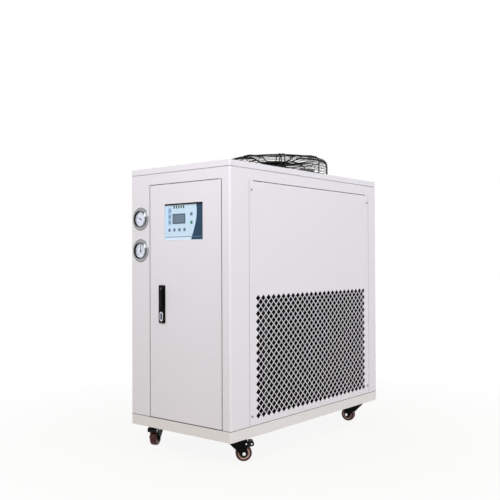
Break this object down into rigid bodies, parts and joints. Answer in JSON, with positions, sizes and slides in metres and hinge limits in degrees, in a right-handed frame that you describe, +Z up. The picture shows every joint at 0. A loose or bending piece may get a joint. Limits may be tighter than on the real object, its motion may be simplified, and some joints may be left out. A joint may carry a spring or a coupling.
{
  "type": "recirculating chiller",
  "caption": "Air-cooled recirculating chiller: tall sheet-metal cabinet on swivel castors with a hinged front door, diamond-punched side grille, pressure gauges and a caged fan on top.",
  "frame": {"origin": "on the floor under the middle of the cabinet", "axes": "+X to the right and +Y to the back as the user sees the door, +Z up"},
  "size_m": [0.5079, 1.0109, 1.125],
  "materials": {
    "cabinet_paint": "satin powder coat",
    "steel": "brushed",
    "galvanised": "galvanised sheet",
    "copper": "drawn copper",
    "brass": "machined",
    "black_paint": "gloss black",
    "black_plastic": "fine grain",
    "light_plastic": "fine grain",
    "keypad_film": "polyester film",
    "rubber": "matt",
    "chrome": "polished",
    "dial_white": "satin enamel",
    "glass": "clear",
    "fins": "black coated",
    "pump_blue": "semi gloss",
    "cast": "painted casting",
    "tread": "polyurethane tread",
    "fan_black": "powder coat"
  },
  "bodies": {
    "cabinet": {"base_frame": "cabinet_paint", "base_floor": "galvanised", "gauge_strip": "cabinet_paint", "post_front_right": "cabinet_paint", "rear_posts": "cabinet_paint", "upper_frame": "cabinet_paint", "top_cover": "cabinet_paint", "side_panel_right": "cabinet_paint", "side_panel_left": "cabinet_paint", "rear_panel": "cabinet_paint", "cover_screws": "steel", "bulkhead": "galvanised", "mounting_plate": "galvanised", "circuit_breaker": "light_plastic", "contactors": "black_plastic", "condenser_core": "fins", "condenser_tubes": "copper", "compressor": "black_paint", "compressor_feet": "rubber", "heat_exchanger": "steel", "discharge_pipe": "copper", "liquid_pipe": "copper", "suction_pipe": "copper", "water_tank": "steel", "tank_lid": "black_plastic", "pump_motor": "pump_blue", "pump_casing": "cast", "supply_pipe": "black_plastic", "return_pipe": "black_plastic", "hose_sockets": "brass", "cable_gland": "black_plastic", "fan_duct": "galvanised", "fan_guard": "fan_black", "fan_motor": "fan_black", "gauge_cases": "chrome", "gauge_dials": "dial_white", "gauge_glasses": "glass", "hinge_pins": "steel", "castor_plates": "black_paint"},
    "door": {"door_panel": "cabinet_paint", "door_gasket": "rubber", "control_housing": "black_plastic", "keypad_sheet": "keypad_film", "lock_plate": "black_plastic"},
    "lock_shaft": {"lock_cam": "steel"},
    "lock_handle": {"lock_lever": "black_plastic"},
    "lock_push": {"lock_button": "chrome"},
    "fan": {"fan_rotor": "fan_black"},
    "upper_pointer": {"needle_upper": "black_paint"},
    "lower_pointer": {"needle_lower": "black_paint"},
    "castor_front_left": {"fork_front_left": "black_paint"},
    "roller_front_left": {"wheel_front_left": "tread"},
    "pedal_front_left": {"brake_front_left": "black_paint"},
    "castor_front_right": {"fork_front_right": "black_paint"},
    "roller_front_right": {"wheel_front_right": "tread"},
    "pedal_front_right": {"brake_front_right": "black_paint"},
    "castor_rear_left": {"fork_rear_left": "black_paint"},
    "roller_rear_left": {"wheel_rear_left": "tread"},
    "castor_rear_right": {"fork_rear_right": "black_paint"},
    "roller_rear_right": {"wheel_rear_right": "tread"}
  },
  "joints": [
    {"name": "door_hinge", "type": "hinge", "parent": "cabinet", "child": "door", "pos_m": [0.2035, -0.489, 0.555], "axis": [0, 0, 1], "range_deg": [0, 110]},
    {"name": "lock_turn", "type": "hinge", "parent": "door", "child": "lock_shaft", "pos_m": [-0.0795, -0.4995, 0.601], "axis": [0, -1, 0], "range_deg": [0, 90]},
    {"name": "lever_lift", "type": "hinge", "parent": "lock_shaft", "child": "lock_handle", "pos_m": [-0.0795, -0.5026, 0.601], "axis": [-1, 0, 0], "range_deg": [0, 35]},
    {"name": "button_press", "type": "slide", "parent": "door", "child": "lock_push", "axis": [0, 1, 0], "range_m": [0, 0.0025], "stiffness_N_per_m": 600, "springref_m": -0.004},
    {"name": "fan_spin", "type": "hinge", "parent": "cabinet", "child": "fan", "pos_m": [0, 0.09, 1.05], "axis": [0, 0, 1], "continuous": true},
    {"name": "upper_needle_turn", "type": "hinge", "parent": "cabinet", "child": "upper_pointer", "pos_m": [-0.197, -0.495, 0.8625], "axis": [0, 1, 0], "range_deg": [-75, 195]},
    {"name": "lower_needle_turn", "type": "hinge", "parent": "cabinet", "child": "lower_pointer", "pos_m": [-0.197, -0.495, 0.743], "axis": [0, 1, 0], "range_deg": [-135, 135]},
    {"name": "swivel_front_left", "type": "hinge", "parent": "cabinet", "child": "castor_front_left", "pos_m": [-0.198, -0.407, 0.077], "axis": [0, 0, 1], "continuous": true},
    {"name": "wheel_roll_front_left", "type": "hinge", "parent": "castor_front_left", "child": "roller_front_left", "pos_m": [-0.18659, -0.43147, 0.029], "axis": [0.9063, 0.4226, 0], "continuous": true},
    {"name": "brake_front_left_lift", "type": "hinge", "parent": "castor_front_left", "child": "pedal_front_left", "pos_m": [-0.18321, -0.43872, 0.0625], "axis": [-0.9063, -0.4226, 0], "range_deg": [0, 20]},
    {"name": "swivel_front_right", "type": "hinge", "parent": "cabinet", "child": "castor_front_right", "pos_m": [0.198, -0.407, 0.077], "axis": [0, 0, 1], "continuous": true},
    {"name": "wheel_roll_front_right", "type": "hinge", "parent": "castor_front_right", "child": "roller_front_right", "pos_m": [0.21742, -0.38824, 0.029], "axis": [-0.6947, 0.7193, 0], "continuous": true},
    {"name": "brake_front_right_lift", "type": "hinge", "parent": "castor_front_right", "child": "pedal_front_right", "pos_m": [0.22318, -0.38269, 0.0625], "axis": [0.6947, -0.7193, 0], "range_deg": [0, 20]},
    {"name": "swivel_rear_left", "type": "hinge", "parent": "cabinet", "child": "castor_rear_left", "pos_m": [-0.198, 0.389, 0.077], "axis": [0, 0, 1], "continuous": true},
    {"name": "wheel_roll_rear_left", "type": "hinge", "parent": "castor_rear_left", "child": "roller_rear_left", "pos_m": [-0.21709, 0.40809, 0.029], "axis": [-0.7071, -0.7071, 0], "continuous": true},
    {"name": "swivel_rear_right", "type": "hinge", "parent": "cabinet", "child": "castor_rear_right", "pos_m": [0.198, 0.389, 0.077], "axis": [0, 0, 1], "continuous": true},
    {"name": "wheel_roll_rear_right", "type": "hinge", "parent": "castor_rear_right", "child": "roller_rear_right", "pos_m": [0.1712, 0.38571, 0.029], "axis": [0.1219, -0.9925, 0], "continuous": true}
  ]
}
